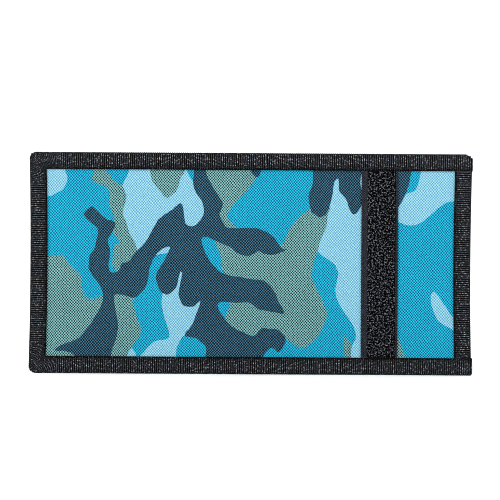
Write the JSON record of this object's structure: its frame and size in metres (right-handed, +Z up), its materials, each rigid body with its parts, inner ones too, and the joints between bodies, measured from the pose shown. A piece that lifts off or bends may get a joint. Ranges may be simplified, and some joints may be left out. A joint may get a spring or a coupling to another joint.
{
  "type": "trifold wallet",
  "caption": "Soft cloth trifold wallet, shown open, with bound edges, a hook-and-loop closure, card slots, a window pocket, a zipped coin pocket and a note compartment.",
  "frame": {"origin": "under the middle of the open wallet, on the surface that its long lower edge stands on", "axes": "+X along the open wallet to the panel with the loop strip, +Y towards the inner side with the pockets, +Z up to the note compartment's mouth"},
  "size_m": [0.2422, 0.0092, 0.121],
  "materials": {
    "camo_cloth": "matt coated oxford cloth with a printed camouflage pattern",
    "binding_tape": "ribbed black grosgrain tape",
    "lining_cloth": "plain-weave black nylon",
    "stiffener_sheet": "matt",
    "loop_tape": "brushed loop pile",
    "hook_tape": "moulded nylon hooks on woven tape",
    "window_film": "clear vinyl",
    "zip_coil": "smooth nylon coil",
    "zip_metal": "plated zinc casting"
  },
  "bodies": {
    "centre": {"centre_bottom_binding": "binding_tape", "centre_inner_sheet": "lining_cloth", "centre_lining": "lining_cloth", "centre_mouth_binding": "binding_tape", "centre_shell": "camo_cloth", "centre_stiffener": "stiffener_sheet", "centre_top_binding": "binding_tape", "id_window_film": "window_film", "id_window_frame": "lining_cloth"},
    "left_fold": {"left_fold_bottom_binding": "binding_tape", "left_fold_inner_sheet": "lining_cloth", "left_fold_lining": "lining_cloth", "left_fold_mouth_binding": "binding_tape", "left_fold_shell": "camo_cloth", "left_fold_top_binding": "binding_tape"},
    "left_panel": {"coin_pocket_cover": "camo_cloth", "coin_pocket_front": "camo_cloth", "hook_strip": "hook_tape", "left_panel_edge_binding": "binding_tape", "left_panel_inner_sheet": "lining_cloth", "left_panel_lining": "lining_cloth", "left_panel_mouth_binding": "binding_tape", "left_panel_shell": "camo_cloth", "left_panel_stiffener": "stiffener_sheet", "left_panel_top_binding": "binding_tape", "zip_coil_lower": "zip_coil", "zip_coil_upper": "zip_coil", "zip_stop_closed_end": "zip_metal", "zip_stop_open_end": "zip_metal", "zip_tape_lower": "binding_tape", "zip_tape_upper": "binding_tape"},
    "right_fold": {"right_fold_bottom_binding": "binding_tape", "right_fold_inner_sheet": "lining_cloth", "right_fold_lining": "lining_cloth", "right_fold_mouth_binding": "binding_tape", "right_fold_shell": "camo_cloth", "right_fold_top_binding": "binding_tape"},
    "right_panel": {"card_slot_1": "lining_cloth", "card_slot_2": "lining_cloth", "card_slot_3": "lining_cloth", "loop_strip": "loop_tape", "right_panel_bottom_binding": "binding_tape", "right_panel_edge_binding": "binding_tape", "right_panel_inner_sheet": "lining_cloth", "right_panel_lining": "lining_cloth", "right_panel_mouth_binding": "binding_tape", "right_panel_shell": "camo_cloth", "right_panel_stiffener": "stiffener_sheet", "right_panel_top_binding": "binding_tape"},
    "zip_slider": {"zip_slider": "zip_metal"},
    "zip_pull": {"zip_pull": "zip_metal"}
  },
  "joints": [
    {"name": "right_fold_inner", "type": "hinge", "parent": "centre", "child": "right_fold", "pos_m": [0.04425, -0.00245, 0], "axis": [0, 0, 1], "range_deg": [0, 90]},
    {"name": "right_fold_outer", "type": "hinge", "parent": "right_fold", "child": "right_panel", "pos_m": [0.05355, -0.00245, 0], "axis": [0, 0, 1], "range_deg": [0, 90]},
    {"name": "left_fold_inner", "type": "hinge", "parent": "centre", "child": "left_fold", "pos_m": [-0.02755, -0.00245, 0], "axis": [0, 0, -1], "range_deg": [0, 90]},
    {"name": "left_fold_outer", "type": "hinge", "parent": "left_fold", "child": "left_panel", "pos_m": [-0.04625, -0.00245, 0], "axis": [0, 0, -1], "range_deg": [0, 90]},
    {"name": "zip_slide", "type": "slide", "parent": "left_panel", "child": "zip_slider", "axis": [-1, 0, 0], "range_m": [0, 0.0414]},
    {"name": "zip_pull_hinge", "type": "hinge", "parent": "zip_slider", "child": "zip_pull", "pos_m": [-0.06335, 0.0038, 0.092], "axis": [0, 0, -1], "range_deg": [0, 180]}
  ],
  "couplings": [
    {"joint": "right_fold_outer", "follows": "right_fold_inner", "ratio": 1},
    {"joint": "left_fold_outer", "follows": "left_fold_inner", "ratio": 1}
  ]
}
